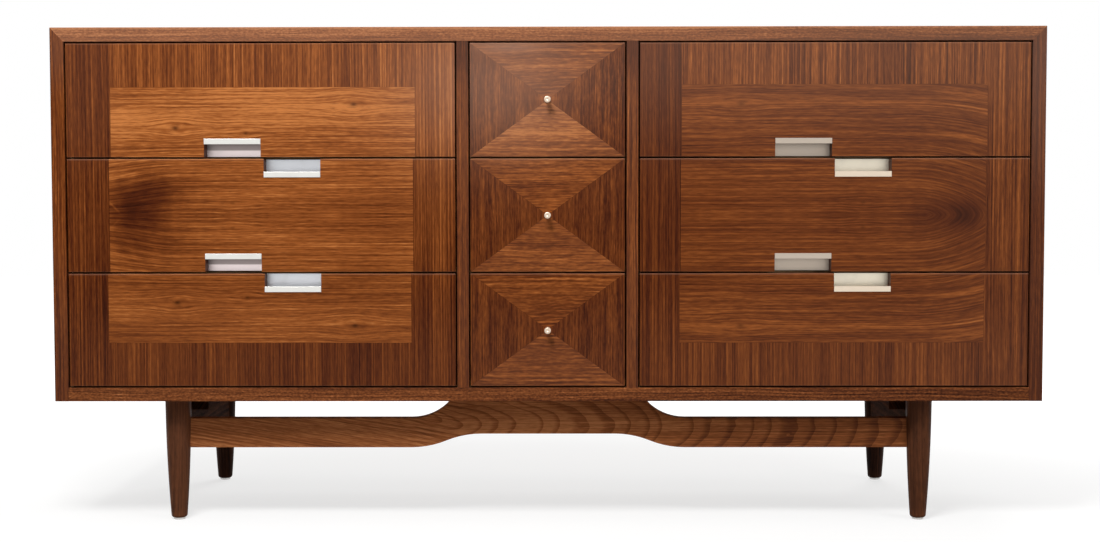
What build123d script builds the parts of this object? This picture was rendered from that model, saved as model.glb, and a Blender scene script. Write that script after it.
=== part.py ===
from build123d import *
import os

# A low walnut dresser with nine drawers on a base of four turned legs.
# Millimetres, +Z up, the front towards -Y. The origin is on the floor, in the middle of the footprint.

# Overall size
CASE_WIDTH = 1524
CASE_DEPTH = 460
TOTAL_HEIGHT = 768
LEG_HEIGHT = 193  # floor to the underside of the case
KNOB_REACH = 17  # how far a knob stands out of the front

# Boards of the case
SIDE_T = 21
TOP_T = 22
BOTTOM_T = 21
PARTITION_T = 18
BACK_T = 5
EDGING_DEPTH = 8  # solid lipping on the front edges
EDGE_ROUND = 0.8  # eased long arrises of the lipping
CORNER_EASE = 0.8  # flat along the outer top corners
HOUSING = 6  # depth of the housings that hold partitions and web frames
BOTTOM_REBATE = 8  # how far the bottom panel enters the side panels
BACK_REBATE = 10  # how far the back panel laps the boards round it

# Drawer layout
CENTRE_OPENING = 242.6  # between the partitions
ROWS = ("lower", "middle", "upper")
GAP = 2.5  # round every drawer front
FRONT_T = 25
FRONT_INSET = 0.8  # drawer fronts lie this far behind the lipping
FRONT_EASE = 0.8  # chamfer round each drawer front

# Drawer boxes
DRAWER_DEPTH = 425  # face of the front to the back of the box
BOX_INSET = 1.0  # the box is this much narrower than its front, on each side
BOX_T = 12
BOX_CLEAR = 0.3  # underside of the box above the strips it runs on
BOX_HEIGHT = 152
BACK_DROP = 6  # the box back is this much lower than its sides
SIDE_ROUND = 2.5  # rounded top edges of the sides
TAIL_PITCH = 30
TAIL_ROOT = 15
TAIL_FLARE = 3  # a tail widens by this much on each edge towards its tip
BOX_BOTTOM_T = 5
BOX_BOTTOM_RISE = 12  # underside of the plywood above the underside of the box
BOX_GROOVE = 6

# Centre guides, and the grooved runners that ride on them
GUIDE_WIDTH = 18
GUIDE_HEIGHT = 7
RUNNER_WIDTH = 44
RUNNER_RISE = 0.5  # underside of the runner above the underside of the box
RUNNER_SIDE_CLEAR = 0.5
RUNNER_TOP_CLEAR = 1.0

# Web frames between the rows
FRAME_T = 18
FRAME_SETBACK = 28  # case front to the front rail
FRAME_BACK_CLEAR = 2
FRONT_RAIL_DEPTH = 55
REAR_RAIL_DEPTH = 45
SLIDE_WIDTH = 38  # the strip a drawer side runs on, inside the opening
DUST_T = 4
DUST_GROOVE = 7

# Channel pulls in the wide fronts
PULL_WIDTH = 87
PULL_HEIGHT = 28.5
PULL_PAIR_X = 438  # middle of a pair, from the centre of the case
PULL_SPLIT = 4.4  # sideways gap between the pulls of a pair
PULL_FIT = 0.15  # clearance at each end of a pull
LIP_HEIGHT = 8.7
LIP_PROUD = 1.2
LIP_T = 2.2
WEB_T = 2.2
PLATE_T = 1.8
PLATE_SHORT = 1.0  # the back plate stops short of the drawer edge
PULL_ROUND = 0.6
PULL_SCREW_X = 28  # each side of the middle of the pull

# Knobs on the narrow fronts
KNOB_HEAD_R = 5.2
KNOB_HEAD_LENGTH = 6.5
KNOB_NECK_R = 3.3
KNOB_FOOT_R = 4.6
KNOB_FOOT_T = 1.6
KNOB_DIMPLE_R = 1.6
KNOB_DIMPLE_DEPTH = 0.8
KNOB_BORE_DEPTH = 11
KNOB_ROUND = 1.4

# Screws
SCREW_R = 1.75
SCREW_HEAD_R = 3.6
SCREW_HEAD_T = 2.2
SCREW_DOME = 1.3  # rounding of the head
SLOT_WIDTH = 1.0
SLOT_DEPTH = 0.9
SCREW_CLEAR = 0.1
BACK_SCREW = 20
BACK_SCREW_BAYS = 6  # spaces between the screws along the top and bottom of the back
BACK_SCREWS_UP = 4  # screws up each side of it
PULL_SCREW = 14
FRONT_SCREW = 26
FRONT_SCREW_ACROSS = 0.4  # of the width of a wide front, each side of its middle
FRONT_SCREW_RISE = 0.25  # of its height, above and below its middle
CLEAT_SCREW = 38
KNOB_SCREW_SPARE = 1.0  # the screw stops this far short of the end of its bore

# Leg base
LEG_X = 583
FRONT_LEG_SETBACK = 51
LEG_SPACING_Y = 360
LEG_TOP_R = 20.1
LEG_SWELL_R = 19.2  # the curve of the leg leans out towards this point
LEG_SWELL_Z = 92
LEG_TOE_R = 12.2
TOE_ROUND = 4.5
RAIL_T = 22
SIDE_RAIL_Z = 116
TENON_T = 10
TENON_LENGTH = 14
TENON_SHOULDER = 8  # above and below a tenon
LEG_FLAT = 8  # a tenon stops this far from the axis of its leg
STRETCHER_SETBACK = 10  # middle of the front stretcher behind the axes of its legs
STRETCHER_Z = 113.7
STRETCHER_TOP_Z = 159.5
STRETCHER_RISE_Z = 135.3  # underside of the raised middle
STRETCHER_FLAT_X = 105  # half the raised flat
STRETCHER_LOW_X = 215  # where both curves run out into the straight ends
STRETCHER_TOP_R = 80
REAR_STRETCHER_Z = 150
CLEAT = 26
CLEAT_LENGTH = 260
CLEAT_SCREW_STEP = 100
RAIL_SCREW_STEP = 140
GLIDE_T = 3
GLIDE_R = 9
GLIDE_NAIL_R = 1.5
GLIDE_NAIL_LENGTH = 15
GLIDE_ROUND = 1.0

# Places worked out from the sizes above
FRONT_Y = (KNOB_REACH - CASE_DEPTH - SCREW_HEAD_T) / 2
BACK_Y = FRONT_Y + CASE_DEPTH
PANEL_Y = FRONT_Y + EDGING_DEPTH
HALF_WIDTH = CASE_WIDTH / 2
INNER_X = HALF_WIDTH - SIDE_T
CASE_Z = LEG_HEIGHT
OPEN_Z = CASE_Z + BOTTOM_T
OPEN_TOP_Z = TOTAL_HEIGHT - TOP_T
FRONT_HEIGHT = (OPEN_TOP_Z - OPEN_Z - GAP * (len(ROWS) + 1)) / len(ROWS)
ROW_PITCH = FRONT_HEIGHT + GAP
PARTITION_IN = CENTRE_OPENING / 2
PARTITION_OUT = PARTITION_IN + PARTITION_T
COLUMNS = {
    "left": (-INNER_X, -PARTITION_OUT),
    "centre": (-PARTITION_IN, PARTITION_IN),
    "right": (PARTITION_OUT, INNER_X),
}
FACE_Y = FRONT_Y + FRONT_INSET
BOX_Y = FACE_Y + FRONT_T
BOX_END_Y = FACE_Y + DRAWER_DEPTH
FRAME_Y = FRONT_Y + FRAME_SETBACK
FRAME_END_Y = BACK_Y - BACK_T - FRAME_BACK_CLEAR
FRAME_RISE = (FRAME_T - GAP) / 2  # top of a web frame above the lower edge of the front over it
BOX_RISE = FRAME_RISE + BOX_CLEAR
LEG_Y = (FRONT_Y + FRONT_LEG_SETBACK, FRONT_Y + FRONT_LEG_SETBACK + LEG_SPACING_Y)

# Boxes of space, as pairs of limits along X, Y and Z, that one board fills and its neighbours give up
BACK_SPACE = (
    (-INNER_X - BACK_REBATE, INNER_X + BACK_REBATE),
    (BACK_Y - BACK_T, BACK_Y),
    (OPEN_Z - BACK_REBATE, OPEN_TOP_Z + BACK_REBATE),
)
BOTTOM_SPACE = (
    (-INNER_X - BOTTOM_REBATE, INNER_X + BOTTOM_REBATE),
    (PANEL_Y, BACK_Y),
    (CASE_Z, OPEN_Z),
)
PARTITION_SPACES = {
    side: (x, (PANEL_Y, BACK_Y - BACK_T), (OPEN_Z - HOUSING, OPEN_TOP_Z + HOUSING))
    for side, x in (("left", (-PARTITION_OUT, -PARTITION_IN)), ("right", (PARTITION_IN, PARTITION_OUT)))
}


def frame_space(column, level):
    """The space of one web frame, its edges in the housings on both sides."""
    low, high = COLUMNS[column]
    middle = OPEN_Z + level * ROW_PITCH + GAP / 2
    return (
        (low - HOUSING, high + HOUSING),
        (FRAME_Y, FRAME_END_Y),
        (middle - FRAME_T / 2, middle + FRAME_T / 2),
    )


FRAME_SPACES = {
    (column, level): frame_space(column, level)
    for column in COLUMNS
    for level in range(1, len(ROWS))
}

# Outlines seen from the front, shared by the panels and their lipping, with mitred and eased top corners
MITRE_X = HALF_WIDTH - CORNER_EASE * SIDE_T / (SIDE_T + TOP_T)
MITRE_Z = TOTAL_HEIGHT - CORNER_EASE * TOP_T / (SIDE_T + TOP_T)
TOP_OUTLINE = (
    (-INNER_X, OPEN_TOP_Z),
    (INNER_X, OPEN_TOP_Z),
    (MITRE_X, MITRE_Z),
    (HALF_WIDTH - CORNER_EASE, TOTAL_HEIGHT),
    (-HALF_WIDTH + CORNER_EASE, TOTAL_HEIGHT),
    (-MITRE_X, MITRE_Z),
)
SIDE_OUTLINES = {
    side: (
        (sign * INNER_X, CASE_Z),
        (sign * HALF_WIDTH, CASE_Z),
        (sign * HALF_WIDTH, TOTAL_HEIGHT - CORNER_EASE),
        (sign * MITRE_X, MITRE_Z),
        (sign * INNER_X, OPEN_TOP_Z),
    )
    for side, sign in (("left", -1), ("right", 1))
}

# Screws of the back panel, as places round its edge, and of the cleats, as places and directions
BACK_SCREW_X = INNER_X + BACK_REBATE / 2
BACK_SCREW_LOW = OPEN_Z - BACK_REBATE / 2
BACK_SCREW_HIGH = OPEN_TOP_Z + BACK_REBATE / 2
BACK_SCREW_STEP_Z = (BACK_SCREW_HIGH - BACK_SCREW_LOW) / BACK_SCREWS_UP
BACK_SCREWS = [
    ((BACK_SCREW_X * (2 * step / BACK_SCREW_BAYS - 1), BACK_Y, z), (0, -1, 0))
    for z in (BACK_SCREW_LOW, BACK_SCREW_HIGH)
    for step in range(1, BACK_SCREW_BAYS)
] + [
    ((x, BACK_Y, BACK_SCREW_LOW + BACK_SCREW_STEP_Z * (step + 0.5)), (0, -1, 0))
    for x in (-BACK_SCREW_X, BACK_SCREW_X)
    for step in range(BACK_SCREWS_UP)
]
CLEAT_MIDDLE_Y = sum(LEG_Y) / 2
CLEAT_IN_X = LEG_X - RAIL_T / 2 - CLEAT
CLEAT_UP_SCREWS = [
    ((side * (CLEAT_IN_X + CLEAT / 2), CLEAT_MIDDLE_Y + step * CLEAT_SCREW_STEP, CASE_Z - CLEAT), (0, 0, 1))
    for side in (-1, 1)
    for step in (-1, 0, 1)
]
CLEAT_RAIL_SCREWS = [
    ((side * CLEAT_IN_X, CLEAT_MIDDLE_Y + end * RAIL_SCREW_STEP / 2, CASE_Z - CLEAT / 2), (side, 0, 0))
    for side in (-1, 1)
    for end in (-1, 1)
]


def slab(x, y, z, mode=Mode.ADD):
    """A box between limits along each axis, in the part being built."""
    with Locations(((x[0] + x[1]) / 2, (y[0] + y[1]) / 2, (z[0] + z[1]) / 2)):
        Box(x[1] - x[0], y[1] - y[0], z[1] - z[0], mode=mode)


def housings(*spaces):
    """Cuts the spaces of the neighbouring boards out of the part being built."""
    for space in spaces:
        slab(*space, mode=Mode.SUBTRACT)


def drill(screws, depth, radius=SCREW_R + SCREW_CLEAR):
    """Drills a hole for each screw, from its place along its direction."""
    for place, way in screws:
        with Locations(Plane(origin=place, z_dir=way)):
            Cylinder(radius, depth, align=(Align.CENTER, Align.CENTER, Align.MIN), mode=Mode.SUBTRACT)


def screw(place, way, length):
    """A slotted round-head screw: its head sits on the surface at the place, its shank follows the way."""
    upright = (Align.CENTER, Align.CENTER, Align.MIN)
    with BuildPart(Plane(origin=place, z_dir=way)) as piece:
        Cylinder(SCREW_R, length, align=upright)
        with Locations((0, 0, -SCREW_HEAD_T)):
            Cylinder(SCREW_HEAD_R, SCREW_HEAD_T, align=upright)
        rims = piece.edges().filter_by(GeomType.CIRCLE).group_by(SortBy.RADIUS)[-1]
        centre = Vector(place)
        outer_rim = rims.sort_by(lambda edge: (edge.arc_center - centre).dot(Vector(way)))[0]
        fillet(outer_rim, SCREW_DOME)
        with Locations((0, 0, -SCREW_HEAD_T)):
            Box(2 * SCREW_HEAD_R, SLOT_WIDTH, SLOT_DEPTH, align=upright, mode=Mode.SUBTRACT)
    return piece.part


def save(name, *pieces):
    """Writes one node, a single piece or a group of separate pieces."""
    node = pieces[0] if len(pieces) == 1 else Compound(children=list(pieces))
    node.label = name
    export_step(node, f"parts/{name}.step")


os.makedirs("parts", exist_ok=True)

# The case. The top panel and the side panels meet in mitres along the top corners.
with BuildPart() as top_panel:
    with BuildSketch(Plane.XZ.offset(-PANEL_Y)):
        Polygon(*TOP_OUTLINE)
    extrude(amount=PANEL_Y - BACK_Y)
    housings(BACK_SPACE, *PARTITION_SPACES.values())
    drill(BACK_SCREWS, BACK_SCREW + SCREW_CLEAR)
save("top_panel", top_panel.part)

for side in SIDE_OUTLINES:
    with BuildPart() as side_panel:
        with BuildSketch(Plane.XZ.offset(-PANEL_Y)):
            Polygon(*SIDE_OUTLINES[side])
        extrude(amount=PANEL_Y - BACK_Y)
        housings(BACK_SPACE, BOTTOM_SPACE, FRAME_SPACES[side, 1], FRAME_SPACES[side, 2])
        drill(BACK_SCREWS, BACK_SCREW + SCREW_CLEAR)
    save(f"{side}_side_panel", side_panel.part)

    with BuildPart() as partition:
        slab(*PARTITION_SPACES[side])
        housings(*(FRAME_SPACES[column, level] for column in (side, "centre") for level in (1, 2)))
    save(f"{side}_partition", partition.part)

with BuildPart() as bottom_panel:
    slab(*BOTTOM_SPACE)
    housings(BACK_SPACE, *PARTITION_SPACES.values())
    drill(BACK_SCREWS, BACK_SCREW + SCREW_CLEAR)
    drill(CLEAT_UP_SCREWS, CLEAT_SCREW + SCREW_CLEAR)
save("bottom_panel", bottom_panel.part)

with BuildPart() as back_panel:
    slab(*BACK_SPACE)
    drill(BACK_SCREWS, BACK_SCREW)
save("back_panel", back_panel.part)


def lipping(along, *outline):
    """A strip of solid lipping with this outline seen from the front, its long front arrises eased."""
    with BuildPart() as strip:
        with BuildSketch(Plane.XZ.offset(-FRONT_Y)):
            Polygon(*outline)
        extrude(amount=-EDGING_DEPTH)
        fillet(strip.faces().sort_by(Axis.Y)[0].edges().filter_by(along), EDGE_ROUND)
    return strip.part


save(
    "edging_rails",
    lipping(Axis.X, *TOP_OUTLINE),
    lipping(Axis.X, (-INNER_X, CASE_Z), (INNER_X, CASE_Z), (INNER_X, OPEN_Z), (-INNER_X, OPEN_Z)),
)
edging_stiles = [lipping(Axis.Z, *outline) for outline in SIDE_OUTLINES.values()]
for low, high in ((-PARTITION_OUT, -PARTITION_IN), (PARTITION_IN, PARTITION_OUT)):
    stile = ((low, OPEN_Z), (high, OPEN_Z), (high, OPEN_TOP_Z), (low, OPEN_TOP_Z))
    edging_stiles.append(lipping(Axis.Z, *stile))
save("edging_stiles", *edging_stiles)


# Web frames, runner strips and guides that carry the drawers
def rail(x, y, z, groove_y):
    """A front or rear rail of a web frame, grooved along one edge for the dust panel and the tongues."""
    middle = (z[0] + z[1]) / 2
    with BuildPart() as piece:
        slab(x, y, z)
        slab(x, groove_y, (middle - DUST_T / 2, middle + DUST_T / 2), mode=Mode.SUBTRACT)
    return piece.part


def slide(x, y, z, groove_x):
    """A side strip of a web frame, tongued into both rails and grooved for the dust panel."""
    middle = (z[0] + z[1]) / 2
    tongue_z = (middle - DUST_T / 2, middle + DUST_T / 2)
    with BuildPart() as piece:
        slab(x, y, z)
        slab(x, (y[0] - DUST_GROOVE, y[1] + DUST_GROOVE), tongue_z)
        slab(groove_x, (y[0] - DUST_GROOVE, y[1] + DUST_GROOVE), tongue_z, mode=Mode.SUBTRACT)
    return piece.part


def plain(x, y, z):
    """A plain strip or sheet between limits."""
    with BuildPart() as piece:
        slab(x, y, z)
    return piece.part


dust_panels = []
for column, (low, high) in COLUMNS.items():
    supports = []
    middle_x = (low + high) / 2
    guide_x = (middle_x - GUIDE_WIDTH / 2, middle_x + GUIDE_WIDTH / 2)
    slides_y = (FRAME_Y + FRONT_RAIL_DEPTH, FRAME_END_Y - REAR_RAIL_DEPTH)
    for level in range(1, len(ROWS)):
        frame_x, frame_y, frame_z = FRAME_SPACES[column, level]
        middle_z = (frame_z[0] + frame_z[1]) / 2
        left_edge = low + SLIDE_WIDTH
        right_edge = high - SLIDE_WIDTH
        supports += [
            rail(frame_x, (FRAME_Y, slides_y[0]), frame_z, (slides_y[0] - DUST_GROOVE, slides_y[0])),
            rail(frame_x, (slides_y[1], FRAME_END_Y), frame_z, (slides_y[1], slides_y[1] + DUST_GROOVE)),
            slide((frame_x[0], left_edge), slides_y, frame_z, (left_edge - DUST_GROOVE, left_edge)),
            slide((right_edge, frame_x[1]), slides_y, frame_z, (right_edge, right_edge + DUST_GROOVE)),
            plain(guide_x, frame_y, (frame_z[1], frame_z[1] + GUIDE_HEIGHT)),
        ]
        dust_panels.append(
            plain(
                (left_edge - DUST_GROOVE, right_edge + DUST_GROOVE),
                (slides_y[0] - DUST_GROOVE, slides_y[1] + DUST_GROOVE),
                (middle_z - DUST_T / 2, middle_z + DUST_T / 2),
            )
        )
    # The lowest drawer has no frame under it, so strips on the bottom panel bring it to the same height
    strip_top = OPEN_Z + GAP + FRAME_RISE
    supports += [
        plain((low, low + SLIDE_WIDTH), (FRAME_Y, FRAME_END_Y), (OPEN_Z, strip_top)),
        plain((high - SLIDE_WIDTH, high), (FRAME_Y, FRAME_END_Y), (OPEN_Z, strip_top)),
        plain(guide_x, (FRAME_Y, FRAME_END_Y), (OPEN_Z, strip_top + GUIDE_HEIGHT)),
    ]
    save(f"{column}_drawer_supports", *supports)
save("dust_panels", *dust_panels)


# The drawers
def tails(root_y, tip_y, low, high):
    """Draws the dovetails between two heights, in the sketch being drawn, widening from root to tip."""
    count = round((high - low - TAIL_ROOT) / TAIL_PITCH)
    for tail in range(count):
        middle = (low + high) / 2 + (tail - (count - 1) / 2) * TAIL_PITCH
        root = TAIL_ROOT / 2
        tip = root + TAIL_FLARE
        Polygon(
            (root_y, middle - root),
            (tip_y, middle - tip),
            (tip_y, middle + tip),
            (root_y, middle + root),
        )


def drawer_box(x, z, front_screws):
    """The dovetailed box of a drawer as separate boards: front, two sides, back and the grooved runner."""
    left, right = x
    top = z + BOX_HEIGHT
    bottom_z = (z + BOX_BOTTOM_RISE, z + BOX_BOTTOM_RISE + BOX_BOTTOM_T)
    back_top = top - BACK_DROP
    bottom_space = (
        (left + BOX_T - BOX_GROOVE, right - BOX_T + BOX_GROOVE),
        (BOX_Y + BOX_T - BOX_GROOVE, BOX_END_Y),
        bottom_z,
    )
    box_front_y = (BOX_Y, BOX_Y + BOX_T)
    box_back_y = (BOX_END_Y - BOX_T, BOX_END_Y)
    middle = (left + right) / 2
    half_groove = GUIDE_WIDTH / 2 + RUNNER_SIDE_CLEAR
    guide_top = z - BOX_CLEAR + GUIDE_HEIGHT
    # The box front and the runner ride over the guide
    guide_way = (
        (middle - half_groove, middle + half_groove),
        (BOX_Y, BOX_END_Y),
        (z, guide_top + RUNNER_TOP_CLEAR),
    )

    with BuildPart() as box_front:
        slab(x, box_front_y, (z, top))
        for edge in (left, right - BOX_T):
            with BuildSketch(Plane.YZ.offset(edge)):
                tails(box_front_y[1], box_front_y[0], z, top)
            extrude(amount=BOX_T, mode=Mode.SUBTRACT)
        housings(bottom_space, guide_way)
        drill(front_screws, BOX_T)

    with BuildPart() as box_back:
        slab(x, box_back_y, (bottom_z[1], back_top))
        for edge in (left, right - BOX_T):
            with BuildSketch(Plane.YZ.offset(edge)):
                tails(box_back_y[0], box_back_y[1], bottom_z[1], back_top)
            extrude(amount=BOX_T, mode=Mode.SUBTRACT)

    boards = [box_front.part, box_back.part]
    for edge in (left, right - BOX_T):
        with BuildPart() as box_side:
            with BuildSketch(Plane.YZ.offset(edge)):
                with Locations(((box_front_y[1] + box_back_y[0]) / 2, (z + top) / 2)):
                    Rectangle(box_back_y[0] - box_front_y[1], BOX_HEIGHT)
                with Locations((BOX_END_Y - BOX_T / 2, (z + bottom_z[1]) / 2)):
                    Rectangle(BOX_T, bottom_z[1] - z)
                tails(box_front_y[1], box_front_y[0], z, top)
                tails(box_back_y[0], box_back_y[1], bottom_z[1], back_top)
            extrude(amount=BOX_T)
            fillet(box_side.edges().filter_by(Axis.Y).group_by(Axis.Z)[-1], SIDE_ROUND)
            housings(bottom_space)
        boards.append(box_side.part)

    with BuildPart() as runner:
        slab(
            (middle - RUNNER_WIDTH / 2, middle + RUNNER_WIDTH / 2),
            (box_front_y[1], BOX_END_Y),
            (z + RUNNER_RISE, bottom_z[0]),
        )
        housings(guide_way)
    boards.append(runner.part)
    return boards, plain(*bottom_space)


def channel_pull(middle_x, edge_z, up):
    """A pull let into an edge of a drawer front: lip, web and back plate in one bent channel.

    edge_z is the edge of the front, and up is 1 where the recess goes up from it, or -1 where it goes down.
    """
    inner_z = edge_z + up * PULL_HEIGHT
    lip_y = (FACE_Y - LIP_PROUD, FACE_Y - LIP_PROUD + LIP_T)
    plate_y = (FACE_Y + FRONT_T - PLATE_T, FACE_Y + FRONT_T)
    half = PULL_WIDTH / 2 - PULL_FIT
    with BuildPart() as pull:
        with BuildSketch(Plane.YZ.offset(middle_x - half)):
            Polygon(
                (lip_y[0], inner_z),
                (plate_y[1], inner_z),
                (plate_y[1], edge_z + up * PLATE_SHORT),
                (plate_y[0], edge_z + up * PLATE_SHORT),
                (plate_y[0], inner_z - up * WEB_T),
                (lip_y[1], inner_z - up * WEB_T),
                (lip_y[1], inner_z - up * LIP_HEIGHT),
                (lip_y[0], inner_z - up * LIP_HEIGHT),
            )
        extrude(amount=2 * half)
        front_arrises = pull.edges().filter_by(Axis.X).group_by(Axis.Y)[0]
        fillet(front_arrises, PULL_ROUND)
        drill(pull_screws(middle_x, edge_z, up), PULL_SCREW)
    return pull.part


def pull_screws(middle_x, edge_z, up):
    """Places and directions of the two screws that go through the web into the drawer front."""
    web_z = edge_z + up * (PULL_HEIGHT - WEB_T)
    middle_y = FACE_Y + FRONT_T / 2
    return [((middle_x + side * PULL_SCREW_X, middle_y, web_z), (0, 0, up)) for side in (-1, 1)]


def knob(middle_x, middle_z):
    """A small turned knob with a foot, a neck and a dimpled head, bored for its machine screw."""
    reach = FACE_Y - FRONT_Y + KNOB_REACH
    neck_end = reach - KNOB_HEAD_LENGTH
    with BuildPart() as piece:
        with BuildSketch(Plane(origin=(middle_x, FACE_Y, middle_z), x_dir=(1, 0, 0), z_dir=(0, 0, 1))):
            with BuildLine():
                Polyline(
                    (0, 0),
                    (KNOB_FOOT_R, 0),
                    (KNOB_FOOT_R, -KNOB_FOOT_T),
                    (KNOB_NECK_R, -KNOB_FOOT_T),
                    (KNOB_NECK_R, -neck_end),
                    (KNOB_HEAD_R, -neck_end - (KNOB_HEAD_R - KNOB_NECK_R)),
                    (KNOB_HEAD_R, -reach),
                    (KNOB_DIMPLE_R, -reach),
                    (0, -reach + KNOB_DIMPLE_DEPTH),
                    close=True,
                )
            make_face()
        revolve(axis=Axis((middle_x, FACE_Y, middle_z), (0, 1, 0)))
        rims = piece.edges().filter_by(GeomType.CIRCLE).group_by(Axis.Y)[0]
        fillet(rims.sort_by(SortBy.RADIUS)[-1], KNOB_ROUND)
        bore = [((middle_x, FACE_Y, middle_z), (0, -1, 0))]
        drill(bore, KNOB_BORE_DEPTH)
    return piece.part


def drawer(column, row):
    """One drawer: its veneered front, its box, its bottom and its metal fittings."""
    name = f"{ROWS[row]}_{column}_drawer"
    low, high = COLUMNS[column]
    x = (low + GAP, high - GAP)
    z = OPEN_Z + GAP + row * ROW_PITCH
    middle_x = (x[0] + x[1]) / 2
    middle_z = z + FRONT_HEIGHT / 2
    inside_y = BOX_Y + BOX_T
    has_knob = column == "centre"

    # Each recess is a middle, an edge height and the way it goes from that edge
    recesses = []
    if not has_knob:
        pair_x = PULL_PAIR_X if middle_x > 0 else -PULL_PAIR_X
        aside = (PULL_WIDTH + PULL_SPLIT) / 2
        if row > 0:
            recesses.append((pair_x - aside, z, 1))
        if row < len(ROWS) - 1:
            recesses.append((pair_x + aside, z + FRONT_HEIGHT, -1))

    # Wood screws from inside hold the wide fronts, and the knob's machine screw clamps a narrow one
    if has_knob:
        front_screws = [((middle_x, inside_y, middle_z), (0, -1, 0))]
        screw_length = BOX_T + FRONT_T + KNOB_BORE_DEPTH - KNOB_SCREW_SPARE
    else:
        reach_x = (x[1] - x[0]) * FRONT_SCREW_ACROSS
        reach_z = FRONT_HEIGHT * FRONT_SCREW_RISE
        front_screws = [
            ((middle_x + across * reach_x, inside_y, middle_z + rise * reach_z), (0, -1, 0))
            for across in (-1, 1)
            for rise in (-1, 1)
        ]
        screw_length = FRONT_SCREW

    with BuildPart() as front:
        slab(x, (FACE_Y, BOX_Y), (z, z + FRONT_HEIGHT))
        chamfer(front.faces().sort_by(Axis.Y)[0].edges(), FRONT_EASE)
        for recess_x, edge_z, up in recesses:
            recess_z = sorted((edge_z, edge_z + up * PULL_HEIGHT))
            recess_sides = (recess_x - PULL_WIDTH / 2, recess_x + PULL_WIDTH / 2)
            slab(recess_sides, (FACE_Y, BOX_Y), recess_z, mode=Mode.SUBTRACT)
            drill(pull_screws(recess_x, edge_z, up), PULL_SCREW + SCREW_CLEAR)
        drill(front_screws, min(screw_length + SCREW_CLEAR, BOX_T + FRONT_T))
    save(f"{name}_front", front.part)

    box_x = (x[0] + BOX_INSET, x[1] - BOX_INSET)
    boards, bottom = drawer_box(box_x, z + BOX_RISE, front_screws)
    save(f"{name}_box", *boards)
    save(f"{name}_bottom", bottom)

    fittings = [screw(place, way, screw_length) for place, way in front_screws]
    for recess in recesses:
        fittings.append(channel_pull(*recess))
        fittings += [screw(place, way, PULL_SCREW) for place, way in pull_screws(*recess)]
    if has_knob:
        fittings.append(knob(middle_x, middle_z))
    save(f"{name}_hardware", *fittings)


for column in COLUMNS:
    for row in range(len(ROWS)):
        drawer(column, row)

# The leg base: turned legs, a shaped front stretcher, a rear stretcher, side rails, cleats and glides
LEG_PLACES = {
    (end, side): (sign * LEG_X, y)
    for end, y in zip(("front", "rear"), LEG_Y)
    for side, sign in (("left", -1), ("right", 1))
}


def turned_leg(x, y):
    """A round leg with a gently swelling taper and a rounded toe, as a blank without mortises."""
    with BuildPart() as leg:
        with BuildSketch(Plane(origin=(x, y, 0), x_dir=(1, 0, 0), z_dir=(0, -1, 0))):
            with BuildLine():
                Line((0, CASE_Z), (0, GLIDE_T))
                Line((0, GLIDE_T), (LEG_TOE_R, GLIDE_T))
                Bezier((LEG_TOE_R, GLIDE_T), (LEG_SWELL_R, LEG_SWELL_Z), (LEG_TOP_R, CASE_Z))
                Line((LEG_TOP_R, CASE_Z), (0, CASE_Z))
            make_face()
        revolve(axis=Axis((x, y, 0), (0, 0, 1)))
        fillet(leg.edges().filter_by(GeomType.CIRCLE).sort_by(Axis.Z)[0], TOE_ROUND)
    return leg.part


LEG_BLANKS = {place: turned_leg(*LEG_PLACES[place]) for place in LEG_PLACES}


def tenon_spaces(end, side):
    """The two tenons that enter a leg: one from the stretcher and one from the side rail."""
    x, y = LEG_PLACES[end, side]
    inward = -1 if x > 0 else 1
    along = 1 if end == "front" else -1
    stretcher_y = y + STRETCHER_SETBACK if end == "front" else y
    stretcher_z = (STRETCHER_Z, STRETCHER_TOP_Z) if end == "front" else (REAR_STRETCHER_Z, CASE_Z)
    reach_x = sorted((x + inward * LEG_FLAT, x + inward * (LEG_FLAT + TENON_LENGTH)))
    reach_y = sorted((y + along * LEG_FLAT, y + along * (LEG_FLAT + TENON_LENGTH)))
    half = TENON_T / 2
    return {
        "stretcher": (
            reach_x,
            (stretcher_y - half, stretcher_y + half),
            (stretcher_z[0] + TENON_SHOULDER, stretcher_z[1] - TENON_SHOULDER),
        ),
        "rail": (
            (x - half, x + half),
            reach_y,
            (SIDE_RAIL_Z + TENON_SHOULDER, CASE_Z - TENON_SHOULDER),
        ),
    }


def fit_between(blank, kind, *leg_places):
    """Copes a rail blank round its two legs and leaves a tenon at each end."""
    with BuildPart() as fitted:
        add(blank)
        for place in leg_places:
            add(LEG_BLANKS[place], mode=Mode.SUBTRACT)
        for place in leg_places:
            slab(*tenon_spaces(*place)[kind])
    return fitted.part


for (end, side), (x, y) in LEG_PLACES.items():
    with BuildPart() as leg:
        add(LEG_BLANKS[end, side])
        housings(*tenon_spaces(end, side).values())
        drill([((x, y, GLIDE_T), (0, 0, 1))], GLIDE_NAIL_LENGTH + SCREW_CLEAR, GLIDE_NAIL_R + SCREW_CLEAR)
    save(f"{end}_{side}_leg", leg.part)

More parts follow.
